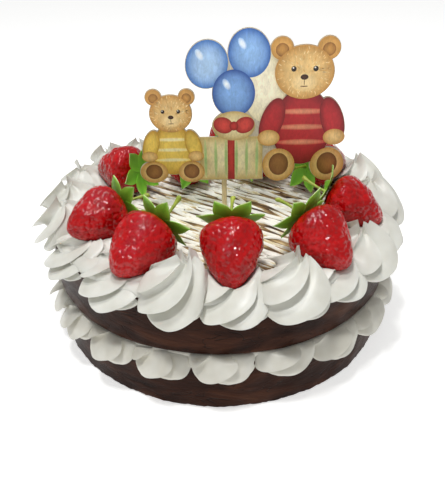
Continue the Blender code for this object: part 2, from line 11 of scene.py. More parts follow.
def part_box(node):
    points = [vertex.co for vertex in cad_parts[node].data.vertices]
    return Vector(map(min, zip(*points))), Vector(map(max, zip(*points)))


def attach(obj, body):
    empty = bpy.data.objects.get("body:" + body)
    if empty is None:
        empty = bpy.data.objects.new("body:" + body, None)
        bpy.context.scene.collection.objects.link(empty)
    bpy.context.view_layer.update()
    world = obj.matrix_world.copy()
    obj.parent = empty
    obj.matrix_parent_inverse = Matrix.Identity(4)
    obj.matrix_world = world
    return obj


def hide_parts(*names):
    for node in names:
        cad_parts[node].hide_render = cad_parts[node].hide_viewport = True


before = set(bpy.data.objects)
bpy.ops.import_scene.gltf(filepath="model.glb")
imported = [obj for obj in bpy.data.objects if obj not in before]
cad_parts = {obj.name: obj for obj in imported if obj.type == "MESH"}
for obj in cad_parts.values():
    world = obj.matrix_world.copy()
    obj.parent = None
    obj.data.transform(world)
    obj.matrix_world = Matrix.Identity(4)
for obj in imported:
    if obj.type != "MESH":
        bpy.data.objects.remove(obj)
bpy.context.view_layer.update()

# Teddy bear cake: the finishes and the fine forms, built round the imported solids.
# Metres, +Z up. The front looks along -Y, and azimuths grow from there towards +X, in degrees.

print("frame loaded:", len(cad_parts), "solids")


def linearColour(hexCode):
    channels = [int(hexCode[i:i + 2], 16) / 255 for i in (0, 2, 4)]
    return tuple(c / 12.92 if c <= 0.04045 else ((c + 0.055) / 1.055) ** 2.4 for c in channels) + (1.0,)


def perMetre(millimetres):
    return 1000 / millimetres  # a noise scale whose features are about this many millimetres apart


def setSockets(tree, node, settings):
    # a plain value is set, a hex colour turned to linear, and a node or one of its sockets linked
    for name, value in settings.items():
        if name == "stops":
            ramp = node.color_ramp.elements
            while len(ramp) < len(value):
                ramp.new(0.5)
            for stop, (place, hexCode) in zip(ramp, value):
                stop.position = place
                stop.color = linearColour(hexCode)
        elif isinstance(value, bpy.types.Node):
            tree.links.new(value.outputs[0], node.inputs[name])
        elif isinstance(value, bpy.types.NodeSocket):
            tree.links.new(value, node.inputs[name])
        elif isinstance(name, int) or name in node.inputs:
            node.inputs[name].default_value = linearColour(value) if isinstance(value, str) else value
        else:
            setattr(node, name, value)
    return node


def addNode(tree, kind, settings):
    return setSockets(tree, tree.nodes.new("ShaderNode" + kind), settings)


def newMaterial(name):
    material = bpy.data.materials.new(name)
    material.use_nodes = True
    tree = material.node_tree
    return material, tree, addNode(tree, "TexCoord", {}).outputs["Object"]


def finished(material, settings):
    setSockets(material.node_tree, material.node_tree.nodes["Principled BSDF"], settings)
    return material


def smoothCurve(knots, at):
    # a curve through (place, value) knots without corners
    places = np.array([k[0] for k in knots], float)
    values = np.array([k[1] for k in knots], float)
    slopes = np.gradient(values, places)
    at = np.clip(at, places[0], places[-1])
    i = np.clip(np.searchsorted(places, at, side="right") - 1, 0, len(places) - 2)
    gap = places[i + 1] - places[i]
    t = (at - places[i]) / gap
    rise = (3 - 2 * t) * t * t
    ease = t * (1 - t)
    return (values[i] * (1 - rise) + values[i + 1] * rise
            + gap * ease * (slopes[i] * (1 - t) - slopes[i + 1] * t))


def wobble(rng, waves, around, along):
    # a sum of smooth waves: each is (height, cycles around, cycles per unit along)
    total = np.zeros(np.broadcast(around, along).shape)
    for height, cycles, rate in waves:
        turn = rng.uniform(0, 2 * math.pi)
        slant = rng.uniform(0.6, 1.0) * rng.choice((-1, 1))
        total = total + height * np.cos(cycles * around + slant * rate * along + turn)
    return total


def ringFaces(rings, around, first=0):
    # quads between rings of points that each close on themselves
    faces = []
    for r in range(rings - 1):
        base = first + r * around
        for i in range(around):
            j = (i + 1) % around
            faces.append((base + i, base + j, base + around + j, base + around + i))
    return faces


def closedRings(points):
    # points is rings x around x 3; each end closes on the middle of its ring
    rings, around = points.shape[:2]
    flat = points.reshape(-1, 3)
    ends = np.array([points[0].mean(0), points[-1].mean(0)])
    faces = ringFaces(rings, around)
    last = (rings - 1) * around
    for i in range(around):
        j = (i + 1) % around
        faces.append((j, i, rings * around))
        faces.append((last + i, last + j, rings * around + 1))
    return np.vstack([flat, ends]), faces


def joined(parts):
    # several (points, faces) as one
    allPoints, allFaces, base = [], [], 0
    for points, faces in parts:
        allPoints.append(points)
        allFaces += [tuple(i + base for i in face) for face in faces]
        base += len(points)
    return np.vstack(allPoints), allFaces


def makePiece(name, points, faces, material, slotName, nodes, attributes=None, smoothTo=180):
    mesh = bpy.data.meshes.new(name)
    mesh.from_pydata([tuple(p) for p in np.asarray(points, float)], [], faces)
    mesh.materials.append(material)
    for key, values in (attributes or {}).items():
        values = np.asarray(values, np.float32)
        kind = "FLOAT" if values.ndim == 1 else "FLOAT_VECTOR"
        store = mesh.attributes.new(key, kind, "POINT")
        store.data.foreach_set("value" if values.ndim == 1 else "vector", values.ravel())
    mesh.shade_smooth()
    if smoothTo < 180:
        mesh.set_sharp_from_angle(angle=math.radians(smoothTo))
    mesh.validate()
    piece = bpy.data.objects.new(name, mesh)
    bpy.context.scene.collection.objects.link(piece)
    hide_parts(*nodes)
    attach(piece, "root")
    return piece


def onAzimuth(radius, azimuth, height):
    angle = np.radians(azimuth)
    return np.stack([radius * np.sin(angle), -radius * np.cos(angle), height + 0 * radius], -1)


# chocolate coating spread with a knife: semi-matte, with broad strokes that catch the light unevenly
def spreadChocolate():
    material, tree, place = newMaterial("spreadChocolate")
    strokes = addNode(tree, "Mapping", {"Scale": (1, 1, 3.2), "Vector": place})
    broad = addNode(tree, "TexNoise", {"Scale": perMetre(34), "Detail": 4, "Roughness": 0.55,
                                       "Distortion": 0.6, "Vector": strokes})
    fine = addNode(tree, "TexNoise", {"Scale": perMetre(5), "Detail": 5, "Roughness": 0.6,
                                      "Vector": strokes})
    colour = addNode(tree, "ValToRGB", {
        "stops": [(0.30, "1A0803"), (0.48, "2C1409"), (0.62, "3C1F11"), (0.80, "54321E")], "Fac": broad})
    sheen = addNode(tree, "MapRange", {"To Min": 0.30, "To Max": 0.52, "Value": fine})
    # thin wavy lines where one stroke of the knife ends on the last: a groove in the bump, darkened with
    # painted shade
    sweep = addNode(tree, "TexNoise", {"Scale": perMetre(30), "Detail": 2, "Distortion": 1.2,
                                       "Vector": strokes})
    middle = addNode(tree, "Math", {"operation": "SUBTRACT", 0: sweep, 1: 0.5})
    off = addNode(tree, "Math", {"operation": "ABSOLUTE", 0: middle})
    knifeGrooveAndShade = addNode(tree, "MapRange", {"From Min": 0.0, "From Max": 0.012, "To Min": 0.75, "To Max": 0.0,
                                      "Value": off})
    creaseShadedColour = addNode(tree, "Mix", {"data_type": "RGBA", 0: knifeGrooveAndShade, 6: colour, 7: "140803"})
    grit = addNode(tree, "TexNoise", {"Scale": perMetre(0.8), "Detail": 2, "Vector": place})
    edge = addNode(tree, "Bump", {"Strength": 0.4, "Distance": 0.0005, "invert": True, "Height": knifeGrooveAndShade})
    low = addNode(tree, "Bump", {"Strength": 0.6, "Distance": 0.0014, "Height": broad, "Normal": edge})
    mid = addNode(tree, "Bump", {"Strength": 0.45, "Distance": 0.0004, "Height": fine, "Normal": low})
    high = addNode(tree, "Bump", {"Strength": 0.25, "Distance": 0.00008, "Height": grit, "Normal": mid})
    return finished(material, {"Base Color": creaseShadedColour.outputs[2], "Roughness": sheen, "Normal": high,
                               "IOR": 1.45, "Specular IOR Level": 0.10})


layerStyle = {
    "around": 360, "wallRows": 26, "capRings": 10, "edge": 0.0022, "wallShare": 0.03, "seed": 15,
    "wallWaves": ((0.00030, 3, 30), (0.00022, 7, 90), (0.00014, 17, 160), (0.00008, 41, 300)),
    "edgeWaves": ((0.00035, 23, 0), (0.00030, 61, 0), (0.00025, 113, 0), (0.00020, 171, 0)),
    "footHeight": 0.0016, "footBulge": 0.0009,
}


def coatedLayer(name, low, high, radius, material, node, crumblyFoot):
    style = layerStyle
    rng = random.Random(style["seed"])
    angle = np.linspace(0, 2 * math.pi, style["around"], endpoint=False)[None, :]
    edge = style["edge"]
    turns = np.linspace(0, math.pi / 2, 6)
    profile = [(radius * share, high) for share in np.linspace(0.02, 1 - edge / radius, style["capRings"])]
    profile += [(radius - edge + edge * math.sin(t), high - edge + edge * math.cos(t)) for t in turns[1:]]
    profile += [(radius, high - edge - (high - low - 2 * edge) * r / style["wallRows"])
                for r in range(1, style["wallRows"] + 1)]
    profile += [(radius - edge + edge * math.cos(t), low + edge - edge * math.sin(t)) for t in turns[1:]]
    profile += [(radius * share, low) for share in np.linspace(1 - edge / radius, 0.02, 4)[1:]]
    out = np.array([p[0] for p in profile])[:, None]
    height = np.array([p[1] for p in profile])[:, None] + 0 * angle
    # only the wall is uneven, and the flat faces stay flat
    wall = style["wallShare"]
    onWall = np.clip((out - radius * (1 - wall)) / (radius * wall), 0, 1)
    reach = out + onWall * wobble(rng, style["wallWaves"], angle, height)
    ragged = wobble(rng, style["edgeWaves"], angle, height)
    if crumblyFoot:
        nearFoot = np.clip(1 - (height - low) / style["footHeight"], 0, 1) * onWall
        reach = reach + nearFoot * (style["footBulge"] + ragged)
    points = onAzimuth(reach, np.degrees(angle), height)
    return makePiece(name, *closedRings(points[::-1]), material, "chocolate", [node])


chocolate = spreadChocolate()
lowerLow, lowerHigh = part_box("sponge_lower")
upperLow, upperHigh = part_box("sponge_upper")
cakeRadius = upperHigh.x
drizzleLift = 0.0011  # how far the solid's drizzle stands above its layer
topHeight = upperHigh.z - drizzleLift
coatedLayer("layerLower", lowerLow.z, lowerHigh.z, lowerHigh.x, chocolate, "sponge_lower", True)
coatedLayer("layerUpper", upperLow.z, topHeight, cakeRadius, chocolate, "sponge_upper", False)
print("chocolate layers done")


drizzleStyle = {
    "azimuth": -36, "fan": 3.6, "spacing": 0.0038, "scatter": 0.0005, "reach": 0.0800, "spill": 0.0030,
    "length": (0.030, 0.110), "breaks": (-0.004, 0.003), "strays": 26, "strayFan": 14, "strayLift": 0.0006,
    "width": (0.0023, 0.0035), "height": (0.0009, 0.0014), "bend": 0.0020, "weave": 0.0005,
    "sink": 0.0002, "unevenFoot": 0.0003, "segments": 14, "seed": 11,
    "section": ((-0.5, 0.0), (-0.36, 0.72), (-0.12, 1.0), (0.16, 0.96), (0.40, 0.66), (0.5, 0.0)),
    "ground": 0.00012, "groundRough": 0.0010,
    "groundProfile": ((0.03, 0), (0.4, 0), (0.8, 0), (0.99, 0), (1.0, 0.3), (1.0, 0.7), (0.99, 1), (0.8, 1),
                      (0.4, 1), (0.03, 1)),
}


# white chocolate drizzled with a fork: satin ivory ribbons, tan where they ran thin
def drizzledChocolate(azimuth):
    material, tree, place = newMaterial("drizzledIvoryChocolate")
    along = addNode(tree, "Mapping", {"vector_type": "TEXTURE", "Scale": (3, 1, 1),
                                      "Rotation": (0, 0, math.radians(azimuth)), "Vector": place})
    patches = addNode(tree, "TexNoise", {"Scale": perMetre(4.5), "Detail": 4, "Roughness": 0.6,
                                         "Vector": along})
    colour = addNode(tree, "ValToRGB", {
        "stops": [(0.27, "BFA06A"), (0.36, "E6D8B0"), (0.44, "FBF8EE"), (0.75, "FEFDF8")], "Fac": patches})
    specks = addNode(tree, "TexVoronoi", {"Scale": perMetre(8), "Vector": place})
    isSpeck = addNode(tree, "MapRange", {"From Min": 0.055, "From Max": 0.075, "To Min": 1.0,
                                         "To Max": 0.0, "Value": specks})
    mixed = addNode(tree, "Mix", {"data_type": "RGBA", 0: isSpeck, 6: colour, 7: "2A1A12"})
    grain = addNode(tree, "TexNoise", {"Scale": perMetre(0.9), "Detail": 3, "Vector": place})
    bump = addNode(tree, "Bump", {"Strength": 0.35, "Distance": 0.00012, "Height": grain})
    return finished(material, {"Base Color": mixed.outputs[2], "Normal": bump, "Roughness": 0.42,
                               "IOR": 1.46})


# milk chocolate smeared thin over the dark coating: satin, streaked tan and brown along the ribbons
def smearedChocolate(azimuth):
    material, tree, place = newMaterial("smearedMilkChocolate")
    along = addNode(tree, "Mapping", {"vector_type": "TEXTURE", "Scale": (5, 1, 1),
                                      "Rotation": (0, 0, math.radians(azimuth)), "Vector": place})
    streaks = addNode(tree, "TexNoise", {"Scale": perMetre(3.2), "Detail": 4, "Roughness": 0.6,
                                         "Vector": along})
    colour = addNode(tree, "ValToRGB", {
        "stops": [(0.36, "2C1D12"), (0.46, "644A2C"), (0.54, "A38657"), (0.64, "D6C296")], "Fac": streaks})
    bump = addNode(tree, "Bump", {"Strength": 0.4, "Distance": 0.0003, "Height": streaks})
    return finished(material, {"Base Color": colour, "Normal": bump, "Roughness": 0.45})


def drizzleStrip(style, rng, across, begin, length, fan, lift):
    section = np.array(style["section"])
    base = math.radians(style["azimuth"])
    heading = base + math.radians(rng.gauss(0, fan))
    middle = begin + length / 2
    start = Vector((math.cos(base), math.sin(base))) * middle
    start += Vector((-math.sin(base), math.cos(base))) * across
    width, crest = rng.uniform(*style["width"]), rng.uniform(*style["height"])
    bend, phase = rng.uniform(-1, 1) * style["bend"], rng.uniform(0, 6)
    t = np.linspace(0, 1, style["segments"] + 1)
    run = (t - 0.5) * length
    side = bend * (1 - (2 * t - 1) ** 2) + style["weave"] * np.sin(9 * t + phase)
    taper = np.clip(np.minimum(t, 1 - t) * 7, 0.06, 1) ** 0.6
    x = start.x + run * math.cos(heading) - side * math.sin(heading)
    y = start.y + run * math.sin(heading) + side * math.cos(heading)
    # the ribbon swells and thins a little as it runs
    spread = width * taper * (0.85 + 0.22 * np.sin(5 * t + 2 * phase))
    foot = topHeight - style["sink"] + lift + rng.uniform(0, style["unevenFoot"])
    rings = np.zeros((len(t), len(section), 3))
    for k, (u, v) in enumerate(section):
        rings[:, k, 0] = x - math.sin(heading) * spread * u
        rings[:, k, 1] = y + math.cos(heading) * spread * u
        rings[:, k, 2] = foot + crest * v * taper
    inside = np.hypot(x, y).max() < style["reach"] + style["spill"]
    return closedRings(rings[:, ::-1]) if inside else None


def drizzleStrips(style, material):
    rng = random.Random(style["seed"])
    parts = []
    for row in range(int(2 * style["reach"] / style["spacing"])):
        across = style["spacing"] * (row + 0.5) - style["reach"] + rng.gauss(0, style["scatter"])
        halfChord = math.sqrt(max(style["reach"] ** 2 - across ** 2, 0))
        begin = -halfChord
        while begin < halfChord - style["length"][0] / 2:
            length = min(rng.uniform(*style["length"]), halfChord - begin)
            parts.append(drizzleStrip(style, rng, across, begin, length, style["fan"], 0))
            begin += length + rng.uniform(*style["breaks"])
    for _ in range(style["strays"]):
        across = rng.uniform(-0.85, 0.85) * style["reach"]
        halfChord = math.sqrt(style["reach"] ** 2 - across ** 2)
        length = rng.uniform(*style["length"]) * 0.7
        begin = rng.uniform(-1, 1) * halfChord * 0.8 - length / 2
        parts.append(drizzleStrip(style, rng, across, begin, length, style["strayFan"], style["strayLift"]))
    points, faces = joined([part for part in parts if part])
    return makePiece("drizzle", points, faces, material, "chocolate", ["sponge_upper"], smoothTo=50)


def drizzleGround(style, material):
    # a thin smear under the ribbons, with a ragged edge
    rng = random.Random(style["seed"] + 1)
    angle = np.linspace(0, 2 * math.pi, 180, endpoint=False)[None, :]
    edge = wobble(rng, ((style["groundRough"], 9, 0), (style["groundRough"], 31, 0)), angle, 0 * angle)
    share, up = np.array(style["groundProfile"]).T[:, :, None]
    rings = onAzimuth((style["reach"] + edge) * share, np.degrees(angle),
                      topHeight - style["ground"] + 2 * style["ground"] * up + 0 * angle)
    points, faces = closedRings(rings)
    return makePiece("drizzleGround", points, faces, material, "chocolate", ["sponge_upper"], smoothTo=50)


drizzleStrips(drizzleStyle, drizzledChocolate(drizzleStyle["azimuth"]))
drizzleGround(drizzleStyle, smearedChocolate(drizzleStyle["azimuth"]))
print("drizzle done")


# strawberries cast in soft PVC and lacquered: deep red, with small hard glints on a bumpy skin
def lacqueredBerry():
    material, tree, place = newMaterial("lacqueredRedBerry")
    dent = addNode(tree, "Attribute", {"attribute_name": "dent"}).outputs["Fac"]
    skin = addNode(tree, "Attribute", {"attribute_name": "skin"}).outputs["Vector"]
    tone = addNode(tree, "TexNoise", {"Scale": perMetre(9), "Detail": 3, "Vector": place})
    colour = addNode(tree, "ValToRGB", {
        "stops": [(0.32, "9C0507"), (0.55, "B6070B"), (0.75, "C40B10")], "Fac": tone})
    # the dents are darkened a little: painted shade in the hollows
    dentShadedColour = addNode(tree, "Mix", {"data_type": "RGBA", 0: dent, 6: colour, 7: "820408"})
    # low domes side by side, each with a glint of its own
    domes = addNode(tree, "TexVoronoi", {"feature": "SMOOTH_F1", "Scale": perMetre(2.9),
                                         "Smoothness": 0.35, "Randomness": 0.9, "Vector": place})
    steep = addNode(tree, "Math", {"operation": "POWER", 0: domes, 1: 2.0})
    # skin is in millimetres, so these are broad lumps, about 3 mm apart
    lumps = addNode(tree, "TexNoise", {"Scale": 0.30, "Detail": 1, "Vector": skin})
    wide = addNode(tree, "Bump", {"Strength": 1.0, "Distance": 0.0006, "Height": lumps})
    bump = addNode(tree, "Bump", {"Strength": 1.0, "Distance": 0.0010, "invert": True, "Height": steep,
                                  "Normal": wide})
    return finished(material, {"Base Color": dentShadedColour.outputs[2], "Normal": bump, "Roughness": 0.07,
                               "IOR": 1.44, "Subsurface Weight": 0.05,
                               "Subsurface Radius": (1.0, 0.2, 0.15), "Subsurface Scale": 0.0012})


berryStyle = {
    # azimuth of the body, how far out its middle is, turn of the tip, size, dip of the tip, height
    "places": ((3.9, 0.0798, -3.8, 1.00, 34, 0.0823), (38.0, 0.0865, 0.0, 0.98, 25, 0.0821),
               (69.0, 0.0812, 0.0, 0.95, 22, 0.0818), (114.5, 0.0747, 16.0, 0.98, 8, 0.0840),
               (143.0, 0.0582, -20.0, 0.96, 12, 0.0830), (174.0, 0.0784, 0.0, 0.97, 12, 0.0830),
               (207.3, 0.0500, -7.0, 0.97, 12, 0.0830), (247.0, 0.0695, -12.0, 0.98, 8, 0.0838),
               (301.0, 0.0800, 13.0, 0.96, 6, 0.0840), (329.5, 0.0833, -7.0, 1.01, 20, 0.0822)),
    "length": 0.0360, "width": 0.0318, "fullness": 1.27, "tipPower": 0.52, "shoulderPower": 6,
    "uneven": 0.04, "around": 156, "rings": 104, "poleGap": 0.03, "seed": 100,
    "lumps": ((0.00034, 3, 9), (0.00026, 5, 17), (0.00018, 8, 26)),
    "seeds": 330, "seedsAlong": 0.008, "seedsAround": 0.05,  # how many, and how far they stray
    # the dents' depth and sizes, and how far they are darkened as painted shade
    "dentDepth": 0.00030, "dentAround": 0.00110, "dentAlong": 0.00080, "dentShade": 0.35,
}


def berryMatrix(place):
    azimuth, radius, turn, size, dip, height = place
    out = Vector(onAzimuth(1.0, azimuth + turn, 0.0))
    axis = -out * math.cos(math.radians(dip)) + Vector((0, 0, math.sin(math.radians(dip))))
    side = axis.cross(Vector((0, 0, 1))).normalized()
    turned = Matrix((side, side.cross(axis), axis)).transposed().to_4x4()
    return Matrix.Translation(Vector(onAzimuth(radius, azimuth, height))) @ turned @ Matrix.Scale(size, 4)


def moved(points, matrix):
    turn = np.array(matrix.to_3x3())
    return points @ turn.T + np.array(matrix.translation)


def berrySkin(part, angle, lean):
    style = berryStyle
    shoulder = np.sqrt(np.clip(1 - part ** style["shoulderPower"], 0, 1))
    girth = style["fullness"] * part ** style["tipPower"] * shoulder
    bulge = np.cos(2 * (angle - lean)) + np.cos(angle + lean)
    reach = style["width"] / 2 * girth * (1 + style["uneven"] * bulge)
    along = style["length"] * (part - 0.5) + 0 * angle
    return np.stack([reach * np.cos(angle), reach * np.sin(angle), along], -1)


def berrySeeds(rng, lean):
    # a golden-angle spiral, evenly by area
    style = berryStyle
    fine = np.linspace(0.002, 0.998, 600)
    girth = np.hypot(*berrySkin(fine, 0 * fine, lean)[:, :2].T)
    area = np.cumsum(girth * np.hypot(np.gradient(girth, fine), style["length"]))
    part = np.interp((np.arange(style["seeds"]) + 0.5) / style["seeds"], area / area[-1], fine)
    part = np.clip(part + [rng.gauss(0, style["seedsAlong"]) for _ in part], 0.003, 0.997)
    angle = np.arange(style["seeds"]) * math.pi * (3 - math.sqrt(5)) + lean
    angle = angle + [rng.gauss(0, style["seedsAround"]) for _ in angle]
    return berrySkin(part, angle, lean)


def strawberry(number, place, material):
    style = berryStyle
    rng = random.Random(style["seed"] + number)
    lean = rng.uniform(0, 2 * math.pi)
    poleGap = style["poleGap"]
    part = (1 - np.cos(np.linspace(poleGap, math.pi - poleGap, style["rings"]))) / 2
    angle = np.linspace(0, 2 * math.pi, style["around"], endpoint=False)
    skin = berrySkin(part[:, None], angle[None, :], lean)
    # each seed sits in a dent
    flat = skin.reshape(-1, 3)
    near = np.full(len(flat), 100.0)
    for seed in berrySeeds(rng, lean):
        apart = ((flat - seed) / (style["dentAround"], style["dentAround"], style["dentAlong"])) ** 2
        near = np.minimum(near, apart.sum(1))
    dent = np.exp(-near).reshape(skin.shape[:2])
    normal = np.cross(np.roll(skin, -1, 1) - np.roll(skin, 1, 1), np.gradient(skin, axis=0))
    normal /= np.linalg.norm(normal, axis=-1, keepdims=True) + 1e-12
    lumps = wobble(rng, style["lumps"], angle[None, :], part[:, None]) * np.sin(math.pi * part)[:, None]
    # the skin unrolled, in millimetres, with a stretch of its own for each berry
    rounded = np.hypot(skin[..., 0], skin[..., 1])
    across = rounded.max() * angle[None, :] + 0 * rounded
    coordinates = np.stack([across, skin[..., 2], 0 * rounded], -1) * 1000 + (50 * number, 0, 0)
    skin = skin + normal * (lumps - style["dentDepth"] * dent)[..., None]
    points, faces = closedRings(skin)
    points = moved(points, berryMatrix(place))
    ends = np.array([coordinates[0, 0], coordinates[-1, 0]])
    makePiece(f"strawberry_{number:02d}_skin", points, faces, material, "strawberry",
              [f"strawberry_{number:02d}"],
              {"dent": np.append(dent.ravel() * style["dentShade"], (0, 0)),
               "skin": np.vstack([coordinates.reshape(-1, 3), ends])})
    return points, faces


redBerry = lacqueredBerry()
berryBodies = [strawberry(number, place, redBerry)
               for number, place in enumerate(berryStyle["places"], start=1)]
berryPoints, berryFaces = joined(berryBodies)
berryTree = BVHTree.FromPolygons([Vector(p) for p in berryPoints], berryFaces)
print("strawberries done")


# silicone cream piped through a star nozzle: satin, slightly see-into, with fine drag lines along the flow
def pipedCream(name, light, dark):
    material, tree, place = newMaterial(name)
    flow = addNode(tree, "Attribute", {"attribute_name": "flow"}).outputs["Vector"]
    tone = addNode(tree, "TexNoise", {"Scale": perMetre(14), "Detail": 2, "Vector": place})
    colour = addNode(tree, "ValToRGB", {"stops": [(0.35, dark), (0.65, light)], "Fac": tone})
    # flow is in millimetres: across the ridges, then along them
    stretched = addNode(tree, "Mapping", {"Scale": (1.6, 0.10, 1), "Vector": flow})
    drag = addNode(tree, "TexNoise", {"Scale": 1.0, "Detail": 3, "Roughness": 0.6, "Vector": stretched})
    pits = addNode(tree, "TexVoronoi", {"Scale": perMetre(2.6), "Randomness": 1.0, "Vector": place})
    pit = addNode(tree, "MapRange", {"From Min": 0.02, "From Max": 0.12, "Value": pits})
    soft = addNode(tree, "Bump", {"Strength": 0.30, "Distance": 0.00022, "Height": drag})
    bump = addNode(tree, "Bump", {"Strength": 0.30, "Distance": 0.00015, "Height": pit, "Normal": soft})
    return finished(material, {"Base Color": colour, "Normal": bump, "Roughness": 0.33, "IOR": 1.41,
                               "Subsurface Weight": 0.12, "Subsurface Radius": (1.0, 0.85, 0.65),
                               "Subsurface Scale": 0.0016})


def pipedSwirl(style, rng, middle, halfShare, own, ceiling=None):
    # rings run from the underside to the torn tip
    lobes, around, rings = style["lobes"], style["around"], style["rings"]
    share = np.arange(around) * lobes / around
    lobe = share.astype(int)
    phase = share - lobe

    def blended(perLobe):
        return perLobe[lobe] * (1 - phase) + perLobe[(lobe + 1) % lobes] * phase

    reach = np.array([rng.uniform(*style["lobeReach"]) for _ in range(lobes)])
    peak = np.array([rng.uniform(*style["peaks"]) for _ in range(lobes)])
    startTurn, tipShift, tipRise, size, tipIn = own
    hollow = 1 - np.abs(2 * phase ** style["lean"] - 1) ** style["roundness"]
    ridge = 1 - hollow
    v = (np.linspace(0, 1, rings) ** style["crowding"])[:, None]
    spread = smoothCurve(style["spreadKnots"], v)
    curl = style["curl"] * ridge ** 3 * np.clip(spread, 0, 1)
    wayRound = 2 * math.pi * share / lobes
    angle = math.radians(startTurn) + wayRound - curl
    angle = angle - math.radians(style["twist"]) * v ** style["ease"]
    # each ridge sways a little on its own way up
    swayDraw = random.Random(round(middle * 10) + lobes)
    sway = np.array([swayDraw.uniform(-1, 1) for _ in range(lobes)]) * style["sway"]
    angle = angle + blended(sway) * np.sin(style["swayTurns"] * math.pi * v)
    # the hollows are squeezed shut where the neighbours press against it
    groove = smoothCurve(style["grooveKnots"], v) * (1 - style["sideFill"] * np.cos(angle) ** 2)
    ripple = wobble(rng, style["ripples"], wayRound[None, :], v)
    radius = size * spread * blended(reach) * (1 - groove * hollow) * (1 + ripple * ridge)
    droop = np.radians(style["droop"]) * (1 - v)
    centreOut = style["footRadius"] + (style["tipRadius"] - tipIn - style["footRadius"]) * v
    centreUp = style["footHeight"] + (style["tipHeight"] + tipRise - style["footHeight"]) * v
    sideways = tipShift * v + radius * np.cos(angle)
    away = style["depthShare"] * radius * np.sin(angle)
    out = centreOut + away * np.cos(droop)
    rise = blended(peak) * ridge ** 1.6 * np.clip((v - 0.5) / 0.5, 0, 1)
    up = centreUp - away * np.sin(droop) + rise
    if ceiling is not None:  # squeezed flat under the layer above
        depth = ceiling - up
        soft = style["squeeze"]
        up = ceiling - np.where(depth > soft, depth, soft * np.exp(np.minimum(depth / soft - 1, 0)))
    turn = np.degrees(sideways / out)
    hold = style["hold"]
    held = turn / (1 + np.abs(turn / halfShare) ** hold) ** (1 / hold)
    points = onAzimuth(out, middle + held, up)
    # the torn tip dips in the middle
    inner = (points[-1:] + points[-1].mean(0)) / 2
    inner[..., 2] -= style["dip"]
    points = np.concatenate([points, inner])
    # millimetres round the foot, different for each swirl, and along a ridge
    flow = np.zeros(points.shape)
    flow[:-1, :, 0] = wayRound * size * 1000 + 37 * middle
    flow[-1, :, 0] = flow[-2, :, 0]
    flow[:, :, 1] = np.linspace(0, style["ridgeLength"] * 1000, rings + 1)[:, None]
    mesh = closedRings(points[:, ::-1])
    return mesh, np.vstack([flow[:, ::-1].reshape(-1, 3), np.zeros((2, 3))])


def pressedUnder(points, style):
    # cream that a strawberry lies on stays below its skin and slopes away beside it
    pressed = np.array(points)
    probes = [(0.0, 0.0, 0.0)]
    for reach in style["bedProbes"]:
        for turn in range(8):
            a = math.pi / 4 * turn
            probes.append((reach * math.cos(a), reach * math.sin(a), reach * style["bedSlope"]))
    lowest = berryPoints[:, 2].min() - style["bedGap"]
    for i, (x, y, z) in enumerate(points):
        if z < lowest:
            continue
        for dx, dy, rise in probes:
            hit = berryTree.ray_cast(Vector((x + dx, y + dy, lowerHigh.z)), Vector((0, 0, 1)))[0]
            if hit is not None:
                pressed[i, 2] = min(pressed[i, 2], hit.z - style["bedGap"] + rise)
    return pressed


def creamBed(style, edge, width):
    # the low ridge of cream that fills the rim between one swirl and the next
    around = np.linspace(0, 2 * math.pi, style["bedSides"], endpoint=False)[None, :]
    azimuth = np.linspace(edge, edge + width, style["bedSteps"])[:, None]
    out = style["bedRadius"] + style["bedHalf"] * np.cos(around)
    up = topHeight + style["bedLift"] - style["bedHeight"] * np.sin(around)
    return closedRings(onAzimuth(out + 0 * azimuth, azimuth + 0 * around, up + 0 * azimuth))


# what the rosettes and the filling's swirls have in common
nozzleStyle = {
    "count": 20, "lobes": 6, "lobeReach": (0.93, 1.04), "sizeRange": (0.97, 1.03), "footRadius": 0.0955,
    "twist": 161, "lean": 1.18, "roundness": 2.0, "hold": 5, "sway": 0.15, "ridgeLength": 0.060,
    "ripples": ((0.014, 2, 7), (0.012, 3, 13), (0.008, 5, 23)),
}
rosetteStyle = {
    **nozzleStyle, "startAzimuth": -68.0, "frontWidths": (20.3, 24.3, 17.2, 18.0, 17.0, 16.0, 17.4, 18.0),
    "around": 132, "rings": 50, "crowding": 1.5, "seed": 500, "size": 0.0208, "depthShare": 0.867,
    "footHeight": 0.0621, "tipRadius": 0.0930, "tipHeight": 0.0828, "droop": 19, "ease": 0.68, "curl": 0.34,
    "spreadKnots": ((0, 0.52), (0.12, 0.99), (0.33, 1.13), (0.60, 1.0), (0.83, 0.60), (1, 0.20)),
    "grooveKnots": ((0, 0.12), (0.12, 0.42), (0.33, 0.54), (0.60, 0.58), (0.83, 0.64), (1, 0.72)),
    "sideFill": 0.90, "overlap": 2.2, "swayTurns": 1.4, "peaks": (-0.001, 0.007), "dip": 0.003,
    "turn": 141, "turnRange": 12, "tipShift": (0.003, 0.008), "tipRise": (-0.002, 0.002),
    # turn, tip shift and tip rise of the ones at the front, by number
    "front": {3: (149, 0.0073, 0.0031), 4: (141, 0.0040, 0.0013), 5: (133, 0.0073, -0.0014),
              7: (138, 0.0005, -0.0030)},
    # a strawberry that lies far out presses the rosette below it inwards and down
    "pressRadius": 0.0780, "pressReach": 8.0, "pressedIn": 0.0080, "pressedDown": 0.0050,
    "bedGap": 0.0002, "bedProbes": (0.0012, 0.0026, 0.0042), "bedSlope": 0.9,
    "bedRadius": 0.0928, "bedHalf": 0.0084, "bedLift": 0.0008, "bedHeight": 0.0042, "bedSides": 14,
    "bedSteps": 9,
}


def rosetteSpans(style):
    widths = list(style["frontWidths"])
    rest = style["count"] - len(widths)
    widths += [(360 - sum(widths)) / rest] * rest
    edges = style["startAzimuth"] + np.concatenate([[0], np.cumsum(widths)[:-1]])
    return list(zip(edges, widths))


def drawOwn(style, rng, number):
    # each swirl's own turn, tip shift, tip rise and size
    turn = style["turn"] + rng.uniform(-1, 1) * style["turnRange"]
    shift, rise = rng.uniform(*style["tipShift"]), rng.uniform(*style["tipRise"])
    size = style["size"] * rng.uniform(*style["sizeRange"])
    return (*style["front"].get(number, (turn, shift, rise)), size)


